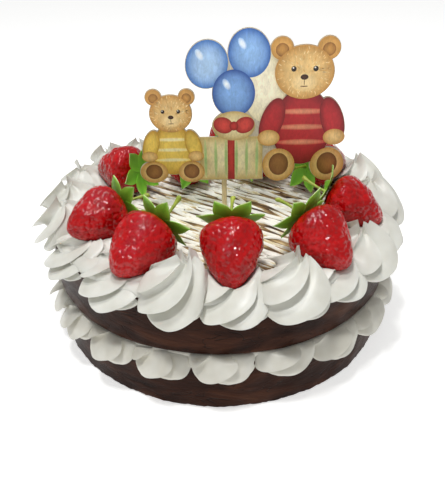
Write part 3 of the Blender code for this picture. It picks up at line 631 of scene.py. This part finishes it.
def isPressed(style, middle):
    apart = [abs((place[0] - middle + 180) % 360 - 180) for place in berryStyle["places"]]
    return any(gap < style["pressReach"] and place[1] > style["pressRadius"]
               for gap, place in zip(apart, berryStyle["places"]))


def rosette(style, number, edge, width, material):
    rng = random.Random(style["seed"] + number)
    turn, shift, rise, size = drawOwn(style, rng, number)
    middle = edge + width / 2
    tipIn = 0.0
    if isPressed(style, middle):
        tipIn = style["pressedIn"]
        rise -= style["pressedDown"]
    own = (turn, shift, rise, size, tipIn)
    swirl, flow = pipedSwirl(style, rng, middle, width / 2 + style["overlap"], own)
    points, faces = joined([swirl, creamBed(style, edge, width)])
    flow = np.vstack([flow, np.zeros((len(points) - len(flow), 3))])
    makePiece(f"rosette_{number:02d}", pressedUnder(points, style), faces, material, "cream",
              [f"cream_rosette_{number:02d}"], {"flow": flow}, smoothTo=75)


cream = pipedCream("pipedSiliconeCream", "DEDED6", "D0CFC5")
for number, (edge, width) in enumerate(rosetteSpans(rosetteStyle), start=1):
    rosette(rosetteStyle, number, edge, width, cream)
print("rosettes done")


fillingStyle = {
    **nozzleStyle, "firstAzimuth": -0.2,
    "around": 108, "rings": 42, "crowding": 1.7, "seed": 31, "size": 0.0200, "depthShare": 0.78,
    "footHeight": 0.0310, "tipRadius": 0.0937, "tipHeight": 0.0400, "droop": 45, "ease": 0.45, "curl": 0.38,
    "spreadKnots": ((0, 0.40), (0.04, 0.85), (0.12, 1.08), (0.33, 1.12), (0.6, 1), (0.83, 0.5), (1, 0.15)),
    "grooveKnots": ((0, 0.10), (0.12, 0.46), (0.33, 0.58), (0.60, 0.62), (0.83, 0.62), (1, 0.62)),
    "sideFill": 0.85, "overlap": 1.8, "swayTurns": 1.2, "peaks": (0, 0.001), "dip": 0.001, "squeeze": 0.002,
    "turn": 158, "turnRange": 14, "tipShift": (-0.004, 0.004), "tipRise": (-0.001, 0.001),
    "front": {1: (155, -0.0028, 0.0021), 2: (180, 0.0085, 0.0030), 20: (146, -0.0042, -0.003)},
    # the disc of cream between the layers, by shares of its radius and height
    "discSides": 120, "discInset": 0.002, "discGap": 0.0003,
    "discProfile": ((0.02, 0), (0.5, 0), (0.985, 0), (1, 0.15), (1, 0.85), (0.985, 1), (0.5, 1), (0.02, 1)),
}


def creamFilling(style, material):
    rng = random.Random(style["seed"])
    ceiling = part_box("cream_filling")[1].z
    step = 360 / style["count"]
    parts, flows = [], []
    for i in range(style["count"]):
        own = (*drawOwn(style, rng, i + 1), 0.0)
        swirl, flow = pipedSwirl(style, rng, style["firstAzimuth"] + step * i, step / 2 + style["overlap"],
                                 own, ceiling)
        parts.append(swirl)
        flows.append(flow)
    out, up = np.array(style["discProfile"]).T[:, :, None]
    angle = np.linspace(0, 360, style["discSides"], endpoint=False)[None, :]
    floor = lowerHigh.z + style["discGap"]
    disc = closedRings(onAzimuth(out * (cakeRadius - style["discInset"]), angle,
                                 floor + up * (ceiling - floor) + 0 * angle))
    parts.append(disc)
    flows.append(np.zeros((len(disc[0]), 3)))
    points, faces = joined(parts)
    makePiece("creamFilling", points, faces, material, "cream", ["cream_filling"],
              {"flow": np.vstack(flows)}, smoothTo=75)


# the filling's cream is a slightly darker copy of the rosettes' cream: painted shade under the layer above
creamFilling(fillingStyle, pipedCream("pipedSiliconeCreamPaintedShade", "DCDAD0", "CCC9BD"))
print("filling done")


# leaves punched from waxed green cloth: low sheen, darker along the middle, pale where the edge was cut
def punchedLeaf():
    material, tree, place = newMaterial("punchedGreenLeaf")
    edge = addNode(tree, "Attribute", {"attribute_name": "edge"}).outputs["Fac"]
    tone = addNode(tree, "TexNoise", {"Scale": perMetre(7), "Detail": 3, "Vector": place})
    shift = addNode(tree, "Math", {"operation": "MULTIPLY_ADD", 0: tone, 1: 0.6, 2: -0.30})
    level = addNode(tree, "Math", {"operation": "ADD", 0: edge, 1: shift})
    colour = addNode(tree, "ValToRGB", {
        "stops": [(0.0, "6CAE2C"), (0.40, "82C238"), (0.80, "92CC46"), (0.98, "C0D890")], "Fac": level})
    weave = addNode(tree, "TexNoise", {"Scale": perMetre(0.7), "Detail": 2, "Vector": place})
    bump = addNode(tree, "Bump", {"Strength": 0.25, "Distance": 0.0001, "Height": weave})
    return finished(material, {"Base Color": colour, "Normal": bump, "Roughness": 0.46,
                               "Subsurface Weight": 0.05, "Subsurface Scale": 0.0008})


# stems moulded in olive PVC: satin, with slow changes of tone
def mouldedStem():
    material, tree, place = newMaterial("mouldedOliveStem")
    tone = addNode(tree, "TexNoise", {"Scale": perMetre(4), "Detail": 3, "Vector": place})
    colour = addNode(tree, "ValToRGB", {"stops": [(0.35, "8A9C2C"), (0.65, "B4C04E")], "Fac": tone})
    bump = addNode(tree, "Bump", {"Strength": 0.3, "Distance": 0.00015, "Height": tone})
    return finished(material, {"Base Color": colour, "Normal": bump, "Roughness": 0.40})


leafStyle = {
    "count": 6, "length": 0.0182, "width": 0.0098, "thickness": 0.0004, "lift": 0.0006, "rise": 0.0030,
    "starTurn": 9, "fold": 0.0002, "wave": 0.0003, "stagger": 0.00012, "roundEnd": 0.015,
    "turnRange": 0.06, "lengthRange": (0.90, 1.05), "riseRange": (0.6, 1.3),
    "steps": 16, "strips": 8, "seed": 300,
    "outline": ((0, 0.36), (0.20, 0.72), (0.45, 1.0), (0.62, 0.92), (0.79, 0.62), (0.92, 0.28), (1, 0.02)),
}
stemStyle = {
    "length": 0.0172, "radius": 0.0010, "bend": 0.0050, "steps": 22, "around": 14,
    # it swells towards the place where it was cut
    "swell": ((0, 1.25), (0.15, 0.9), (0.6, 0.85), (0.85, 1.15), (0.95, 1.5), (0.985, 1.45), (1, 1.0)),
}


def leafBlade(style, draw, i, turn):
    # one pointed blade of the star, and how near each of its points is to the cut edge
    s = np.linspace(0.04, 1, style["steps"])[:, None]
    t = np.linspace(-1, 1, style["strips"] + 1)[None, :]
    angle = turn + 2 * math.pi / style["count"] * i + draw.uniform(-style["turnRange"], style["turnRange"])
    length = style["length"] * draw.uniform(*style["lengthRange"])
    rise = style["rise"] * draw.uniform(*style["riseRange"])
    out = length * s * (1 - style["roundEnd"] * t * t)
    across = style["width"] / 2 * smoothCurve(style["outline"], s) * t
    wave = style["wave"] * np.sin(7 * s + 2 * i + 1.5 * t) * np.abs(t)
    fold = style["fold"] * (1.7 * np.abs(t) * np.sqrt(s) - 0.7 * np.sin(math.pi * s))
    up = rise * s ** 2 + fold + wave + style["stagger"] * (i % 3)
    top = np.stack([out * math.cos(angle) - across * math.sin(angle),
                    out * math.sin(angle) + across * math.cos(angle), up + style["thickness"]], -1)
    bottom = top - np.array((0, 0, style["thickness"]))
    rim = np.concatenate([np.abs(t), np.abs(t)], 1) * (0.35 + 0.65 * s) + 0.25 * s ** 3
    nearEdge = np.append(np.clip(rim ** 2, 0, 1).ravel(), (0.2, 1))
    return closedRings(np.concatenate([top, bottom[:, ::-1]], 1)), nearEdge


def leafStar(style, number, base, turn, material):
    node = f"strawberry_leaves_{number:02d}"
    draw = random.Random(node)
    blades = [leafBlade(style, draw, i, turn) for i in range(style["count"])]
    points, faces = joined([mesh for mesh, _ in blades])
    makePiece(f"leaves_{number:02d}", moved(points, base), faces, material, "leaf", [node],
              {"edge": np.concatenate([nearEdge for _, nearEdge in blades])}, smoothTo=50)


def leafStem(style, number, base, bend, material):
    s = np.linspace(0, 1, style["steps"])[:, None]
    turns = np.linspace(0, 2 * math.pi, style["around"], endpoint=False)[None, :]
    radius = style["radius"] * smoothCurve(style["swell"], s)
    side = style["bend"] * s ** 2
    points, faces = closedRings(np.stack([side * math.cos(bend) + radius * np.cos(turns),
                                          side * math.sin(bend) + radius * np.sin(turns),
                                          style["length"] * s + 0 * turns], -1))
    makePiece(f"stem_{number:02d}", moved(points, base), faces, material, "leaf",
              [f"strawberry_leaves_{number:02d}"], smoothTo=60)


leafGreen, stemOlive = punchedLeaf(), mouldedStem()
for number, place in enumerate(berryStyle["places"], start=1):
    rng = random.Random(leafStyle["seed"] + number)
    turn = math.radians(rng.uniform(-leafStyle["starTurn"], leafStyle["starTurn"]))
    bend = rng.uniform(0, 2 * math.pi)
    base = berryMatrix(place) @ Matrix.Translation((0, 0, berryStyle["length"] / 2 + leafStyle["lift"]))
    leafStar(leafStyle, number, base, turn, leafGreen)
    leafStem(stemStyle, number, base, bend, stemOlive)
print("leaves done")


# grey board, die-cut: pale and fibrous where the knife went through
def dieCutBoard():
    material, tree, place = newMaterial("dieCutBoard")
    fibre = addNode(tree, "Mapping", {"Scale": (1, 1, 0.3), "Vector": place})
    tone = addNode(tree, "TexNoise", {"Scale": perMetre(0.8), "Detail": 4, "Vector": fibre})
    colour = addNode(tree, "ValToRGB", {"stops": [(0.3, "B9AE97"), (0.7, "D8CFBB")], "Fac": tone})
    bump = addNode(tree, "Bump", {"Strength": 0.2, "Distance": 0.0001, "Height": tone})
    return finished(material, {"Base Color": colour, "Normal": bump, "Roughness": 0.75})


# a watercolour-like print on coated card: satin, each field of colour broken by brush strokes
def printedCard():
    material, tree, place = newMaterial("printedCoatedCard")
    ink = addNode(tree, "Attribute", {"attribute_name": "ink"}).outputs["Color"]
    brush = addNode(tree, "Mapping", {"Scale": (1, 1, 0.45), "Rotation": (0, 0.5, 0), "Vector": place})
    strokes = addNode(tree, "TexNoise", {"Scale": perMetre(1.3), "Detail": 4, "Roughness": 0.6,
                                         "Distortion": 0.8, "Vector": brush})
    wash = addNode(tree, "TexNoise", {"Scale": perMetre(7), "Detail": 3, "Vector": place})
    strokeLevel = addNode(tree, "MapRange", {"From Min": 0.3, "From Max": 0.7, "To Min": 0.92,
                                             "To Max": 1.24, "Value": strokes})
    washLevel = addNode(tree, "MapRange", {"From Min": 0.3, "From Max": 0.7, "To Min": 0.92,
                                           "To Max": 1.16, "Value": wash})
    level = addNode(tree, "Math", {"operation": "MULTIPLY", 0: strokeLevel, 1: washLevel})
    colour = addNode(tree, "VectorMath", {"operation": "SCALE", 0: ink, "Scale": level})
    return finished(material, {"Base Color": colour, "Roughness": 0.45})


cardStyle = {
    "foot": 0.0870, "middle": -0.0026, "thickness": 0.0013, "sides": 40, "seed": 44,
    "inkStep": 0.00003, "inkFoot": 0.00002, "inset": 0.0004, "parcelInset": 0.0005,
    "ribbonHalf": 0.0020, "strokes": (0.0005, 0.0011), "furStrokes": 170, "furReach": 0.90,
}
# inks, from the middle of a field to its rim
cardInks = {
    "fur": ("D3A25C", "E3BF80", "BE8B46", "ECD09A"), "ear": "8A5A2C", "sole": ("9C6A3A", "6E4423"),
    "eye": ("2A1C14", "1B120D"), "glint": "F4EFE4", "nose": ("4A2C1C", "2E1A10"), "mouth": "5A3822",
    "smallJumper": ("EBC95E", "B8892F", "F3E7B8"), "largeJumper": ("B4242A", "741218", "D98A6A"),
    "cloud": ("EFE7CC", "E2D6B0"), "shine": "EAF2FB",
    "balloons": (("8FB7E6", "2F5FA8"), ("A9C9EC", "3C70B6"), ("7FA8DE", "294F96")),
    "parcel": ("E9DDB4", "C2A868"), "stripe": ("9DBB7A", "C9C58A"), "ribbon": ("C33A34", "8E1D1E"),
    # the bow, with the round field behind it
    "backing": ("E6D7A8", "B99C62"), "loop": ("D2443C", "8E1D1E"), "knot": ("B92E2B", "7C1518"),
}
# x, z above the card's foot, half sizes and turn: the same places as the solid's outline
largeBear = {
    "head": (0.0470, 0.0640, 0.0165, 0.0148, 0), "earLeft": (0.0345, 0.0768, 0.0064, 0.0064, 0),
    "earRight": (0.0595, 0.0768, 0.0064, 0.0064, 0), "body": (0.0470, 0.0330, 0.0172, 0.0225, 0),
    "armLeft": (0.0300, 0.0370, 0.0068, 0.0140, -18), "armRight": (0.0640, 0.0370, 0.0068, 0.0140, 18),
    "footLeft": (0.0345, 0.0105, 0.0098, 0.0105, 0), "footRight": (0.0628, 0.0105, 0.0102, 0.0105, 0),
}
smallBear = {
    "head": (-0.0270, 0.0420, 0.0122, 0.0110, 0), "earLeft": (-0.0362, 0.0515, 0.0048, 0.0048, 0),
    "earRight": (-0.0178, 0.0515, 0.0048, 0.0048, 0), "body": (-0.0270, 0.0205, 0.0126, 0.0155, 0),
    "armLeft": (-0.0392, 0.0235, 0.0050, 0.0096, -16), "armRight": (-0.0148, 0.0235, 0.0050, 0.0096, 16),
    "footLeft": (-0.0385, 0.0070, 0.0085, 0.0070, 0), "footRight": (-0.0165, 0.0070, 0.0080, 0.0070, 0),
}
balloons = ((0.0170, 0.0745, 0.0118, 0.0133, 8), (-0.0060, 0.0690, 0.0118, 0.0133, -14),
            (0.0085, 0.0530, 0.0122, 0.0135, 0))
bow = (0.0085, 0.0345, 0.0125, 0.0090, 0)
cloud = (0.0255, 0.0565, 0.0120, 0.0200, 0)  # a pale field that shows between the balloons
parcel = (-0.0118, 0.0255, 0.0012, 0.0280)  # left, right, foot and top
stripes = {"count": 6, "from": 0.10, "to": 0.90, "half": 0.0010, "short": 0.0012}


def ovalOutline(oval, sides, grow=0.0):
    x, z, halfX, halfZ, turn = oval
    around = np.linspace(0, 2 * math.pi, sides, endpoint=False)
    u, v = (halfX + grow) * np.cos(around), (halfZ + grow) * np.sin(around)
    a = math.radians(turn)
    return np.stack([x + u * math.cos(a) - v * math.sin(a), z + u * math.sin(a) + v * math.cos(a)], -1)


def cardBoard(material):
    style = cardStyle
    ovals = (*largeBear.values(), *smallBear.values(), *balloons, bow)
    outlines = [ovalOutline(oval, style["sides"]) for oval in ovals]
    left, right, foot, top = parcel
    outlines.append(np.array(((left, foot), (right, foot), (right, top), (left, top))))
    flat, loops = [], []
    for outline in outlines:
        loops.append(list(range(len(flat), len(flat) + len(outline))))
        flat += [Vector(p) for p in outline]
    onlyInside = 1
    points, _, triangles = delaunay_2d_cdt(flat, [], loops, onlyInside, 1e-6)[:3]
    used = sorted({i for triangle in triangles for i in triangle})
    renumber = {old: new for new, old in enumerate(used)}
    xz = np.array([points[i] for i in used])
    triangles = [tuple(renumber[i] for i in triangle) for triangle in triangles]
    front = style["middle"] - style["thickness"] / 2
    count = len(xz)
    depths = (front, front + style["thickness"])
    corners = np.array([(x, y, style["foot"] + z) for y in depths for x, z in xz])
    borders = {}
    for triangle in triangles:
        for k in range(len(triangle)):
            edge = (triangle[k], triangle[(k + 1) % len(triangle)])
            borders[edge] = borders.get(edge, 0) + 1
    walls = [(b, a, a + count, b + count) for a, b in borders if (b, a) not in borders]
    faces = triangles + [tuple(i + count for i in reversed(triangle)) for triangle in triangles] + walls
    return makePiece("cardBoard", corners, faces, material, "card", ["topper_card"], smoothTo=30)


def inkField(ink, outline, inner, rim, power=2.0, rings=4):
    # a thin closed field of ink, a little in front of the last level
    outline = np.asarray(outline, float)
    centre = outline.mean(0)
    front = cardStyle["middle"] - cardStyle["thickness"] / 2
    near = front - cardStyle["inkStep"] * (ink["level"] + 1.5)
    innerInk, rimInk = np.array(linearColour(inner)[:3]), np.array(linearColour(rim)[:3])
    rows = []
    for share in np.linspace(0.08, 1, rings):
        spot = centre + (outline - centre) * share
        rows.append([(x, near, cardStyle["foot"] + z) for x, z in spot])
        ink["tones"] += [innerInk + (rimInk - innerInk) * share ** power] * len(outline)
    rows.append([(x, front + cardStyle["inkFoot"], cardStyle["foot"] + z) for x, z in outline])
    ink["tones"] += [rimInk] * len(outline) + [innerInk, rimInk]
    ink["parts"].append(closedRings(np.array(rows)))


def inkOval(ink, oval, tones, sides=cardStyle["sides"], inset=0.0, power=2.0, rings=4):
    inkField(ink, ovalOutline(oval, sides, -inset), *tones, power, rings)


def inkUp(ink):
    ink["level"] += 1


def ovalWithin(oval, dx, dz, sx, sz, turn=0):
    # an oval placed by shares of another one's half sizes
    x, z, halfX, halfZ, _ = oval
    return (x + dx * halfX, z + dz * halfZ, sx * halfX, sz * halfZ, turn)


def paintFur(ink, oval, tones, rng, count, inside):
    # short brush strokes that follow the round of a limb
    x, z, halfX, halfZ, turn = oval
    for _ in range(count):
        a, r = rng.uniform(0, 2 * math.pi), inside * math.sqrt(rng.random())
        u, v = r * halfX * math.cos(a), r * halfZ * math.sin(a)
        t = math.radians(turn)
        spot = (x + u * math.cos(t) - v * math.sin(t), z + u * math.sin(t) + v * math.cos(t))
        size = rng.uniform(*cardStyle["strokes"])
        tone = rng.choice(tones)
        stroke = (*spot, size, size * 0.26, math.degrees(a) + turn + rng.uniform(-25, 25))
        inkOval(ink, stroke, (tone, tone), 6, rings=2)


def paintBear(ink, bear, jumper, rng):
    fur, light, shade, glow = cardInks["fur"]
    top, topShade, stripe = jumper
    inset, head, mouth = cardStyle["inset"], bear["head"], (cardInks["mouth"], cardInks["mouth"])
    ears, feet, arms = [(bear[limb + "Left"], bear[limb + "Right"]) for limb in ("ear", "foot", "arm")]
    for ear in ears:
        inkOval(ink, ear, (fur, shade), inset=inset)
    inkUp(ink)
    for ear in ears:
        inkOval(ink, ovalWithin(ear, 0, -0.1, 0.55, 0.55), (shade, cardInks["ear"]))
    inkUp(ink)
    inkOval(ink, bear["body"], (top, topShade), inset=inset, power=3)
    inkUp(ink)
    for level, width in ((0.42, 0.90), (0.02, 0.96), (-0.38, 0.88)):
        inkOval(ink, ovalWithin(bear["body"], 0, level, width, 0.085), (stripe, top))
    inkUp(ink)
    for foot in feet:
        inkOval(ink, foot, (light, shade), inset=inset, power=3)
    for arm in arms:
        inkOval(ink, arm, (top, topShade), inset=inset, power=3)
    inkUp(ink)
    for foot in feet:
        inkOval(ink, ovalWithin(foot, 0, 0.05, 0.58, 0.66), cardInks["sole"])
    for sign, arm in zip((-1, 1), arms):
        inkOval(ink, ovalWithin(arm, sign * 0.25, -0.70, 0.92, 0.34), (light, shade))
    inkUp(ink)
    inkOval(ink, head, (light, shade), inset=inset, power=3)
    inkUp(ink)
    paintFur(ink, head, (fur, light, glow), rng, cardStyle["furStrokes"], cardStyle["furReach"])
    inkUp(ink)
    inkOval(ink, ovalWithin(head, 0, -0.34, 0.44, 0.36), (glow, light))
    for sign in (-1, 1):
        inkOval(ink, ovalWithin(head, sign * 0.36, 0.14, 0.085, 0.10), cardInks["eye"], 20)
    inkUp(ink)
    for sign in (-1, 1):
        glint = ovalWithin(head, sign * 0.36 - 0.02, 0.18, 0.025, 0.03)
        inkOval(ink, glint, (cardInks["glint"], cardInks["glint"]), 10, rings=2)
    inkOval(ink, ovalWithin(head, 0, -0.16, 0.13, 0.10), cardInks["nose"], 20)
    inkOval(ink, ovalWithin(head, 0, -0.36, 0.012, 0.12), mouth, 10, rings=2)
    inkOval(ink, ovalWithin(head, 0, -0.50, 0.13, 0.020), mouth, 14, rings=2)


def paintBalloons(ink):
    for oval, tones in zip(balloons, cardInks["balloons"]):
        inkOval(ink, oval, tones, inset=cardStyle["inset"], power=2.6)
        inkUp(ink)
        inkOval(ink, ovalWithin(oval, -0.32, 0.38, 0.16, 0.26, 30), (cardInks["shine"], tones[0]), 20)
        inkUp(ink)


def inkBox(ink, left, right, foot, top, tones):
    inkField(ink, ((left, foot), (right, foot), (right, top), (left, top)), *tones)


def paintParcel(ink):
    left, right, foot, top = parcel
    inset, half, middle = cardStyle["parcelInset"], cardStyle["ribbonHalf"], (left + right) / 2
    inkBox(ink, left + inset, right - inset, foot + inset, top, cardInks["parcel"])
    inkUp(ink)
    for share in np.linspace(stripes["from"], stripes["to"], stripes["count"]):
        across = left + share * (right - left)
        stripe = (across, (foot + top) / 2, stripes["half"], (top - foot) / 2 - stripes["short"], 0)
        inkOval(ink, stripe, cardInks["stripe"], 20)
    inkUp(ink)
    inkBox(ink, middle - half, middle + half, foot + inset, top, cardInks["ribbon"])
    inkUp(ink)
    inkOval(ink, bow, cardInks["backing"], inset=cardStyle["inset"])
    inkUp(ink)
    for sign in (-1, 1):
        inkOval(ink, ovalWithin(bow, sign * 0.48, 0.05, 0.46, 0.52, sign * 24), cardInks["loop"], 24)
    inkUp(ink)
    inkOval(ink, ovalWithin(bow, 0, 0.0, 0.20, 0.30), cardInks["knot"], 20)


def paintCard(material):
    ink = {"parts": [], "tones": [], "level": 0}
    rng = random.Random(cardStyle["seed"])
    inkOval(ink, cloud, cardInks["cloud"])
    inkUp(ink)
    paintBalloons(ink)
    paintParcel(ink)
    paintBear(ink, smallBear, cardInks["smallJumper"], rng)
    paintBear(ink, largeBear, cardInks["largeJumper"], rng)
    points, faces = joined(ink["parts"])
    return makePiece("cardPrint", points, faces, material, "card", ["topper_card"],
                     {"ink": np.array(ink["tones"])}, smoothTo=30)


cardBoard(dieCutBoard())
paintCard(printedCard())
print("card done")


# a birch stick, sawn and tumbled: dull, pale, with fine grain along it
def tumbledBirch():
    material, tree, place = newMaterial("tumbledBirch")
    along = addNode(tree, "Mapping", {"Scale": (1, 1, 0.06), "Vector": place})
    grain = addNode(tree, "TexNoise", {"Scale": perMetre(0.7), "Detail": 4, "Vector": along})
    colour = addNode(tree, "ValToRGB", {"stops": [(0.3, "D6BC88"), (0.7, "EFDDB4")], "Fac": grain})
    bump = addNode(tree, "Bump", {"Strength": 0.3, "Distance": 0.0001, "Height": grain})
    return finished(material, {"Base Color": colour, "Normal": bump, "Roughness": 0.62})


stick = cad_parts["topper_stick"]
stick.data.materials.clear()
stick.data.materials.append(tumbledBirch())
print("stick done")


studioStyle = {
    "sky": 0.36, "floorHalf": 6.0, "floorGap": 0.0002, "floorGlow": 0.56, "aim": (0, 0, 0.06),
    # place, size and watts
    "lights": {"keyLight": ((-0.05, 0.02, 0.95), 0.12, 2.8), "glintLight": ((-0.12, -0.30, 0.90), 0.12, 3.1),
               "frontFill": ((-0.35, -1.0, 0.75), 0.8, 0.7)},
}


# a pale lit table: matt, with a glow of its own that keeps it pale
def paleTable(glow):
    material = newMaterial("paleStudioFloor")[0]
    return finished(material, {"Base Color": "F6F6F4", "Roughness": 0.7, "Emission Color": "FFFFFF",
                               "Emission Strength": glow})


def studioFloor(style):
    mesh = bpy.data.meshes.new("studioFloor")
    half = style["floorHalf"]
    corners = [(-half, -half, 0), (half, -half, 0), (half, half, 0), (-half, half, 0)]
    mesh.from_pydata(corners, [], [(0, 1, 2, 3)])
    mesh.materials.append(paleTable(style["floorGlow"]))
    floor = bpy.data.objects.new("studioFloor", mesh)
    floor.location.z = -style["floorGap"]
    bpy.context.scene.collection.objects.link(floor)


def areaLight(name, place, target, size, watts):
    light = bpy.data.lights.new(name, "AREA")
    light.shape = "DISK"
    light.size = size
    light.energy = watts
    lamp = bpy.data.objects.new(name, light)
    lamp.location = place
    lamp.rotation_mode = "QUATERNION"
    lamp.rotation_quaternion = (Vector(target) - Vector(place)).to_track_quat("-Z", "Y")
    bpy.context.scene.collection.objects.link(lamp)


def studioSky(strength):
    world = bpy.data.worlds.new("studioSky")
    world.use_nodes = True
    setSockets(world.node_tree, world.node_tree.nodes["Background"],
               {"Color": "FFFFFF", "Strength": strength})
    bpy.context.scene.world = world
    bpy.context.scene.view_settings.view_transform = "Standard"


cameraStyle = {
    "place": (0.0, -0.3314, 0.2369), "turns": ((54.44, "X"), (-0.13, "Y"), (4.51, "X"), (-1.04, "Z")),
    "lens": 43.2, "sensor": 36.0, "clipStart": 0.01,
}


def productCamera(style):
    lens = bpy.data.cameras.new("productCamera")
    lens.lens = style["lens"]
    lens.sensor_width = style["sensor"]
    lens.clip_start = style["clipStart"]
    camera = bpy.data.objects.new("productCamera", lens)
    aim = Matrix.Translation(style["place"])
    for turn, axis in style["turns"]:
        aim = aim @ Matrix.Rotation(math.radians(turn), 4, axis)
    camera.matrix_world = aim
    bpy.context.scene.collection.objects.link(camera)
    bpy.context.scene.camera = camera


studioFloor(studioStyle)
for name, (place, size, watts) in studioStyle["lights"].items():
    areaLight(name, place, studioStyle["aim"], size, watts)
studioSky(studioStyle["sky"])
productCamera(cameraStyle)
print("studio done")
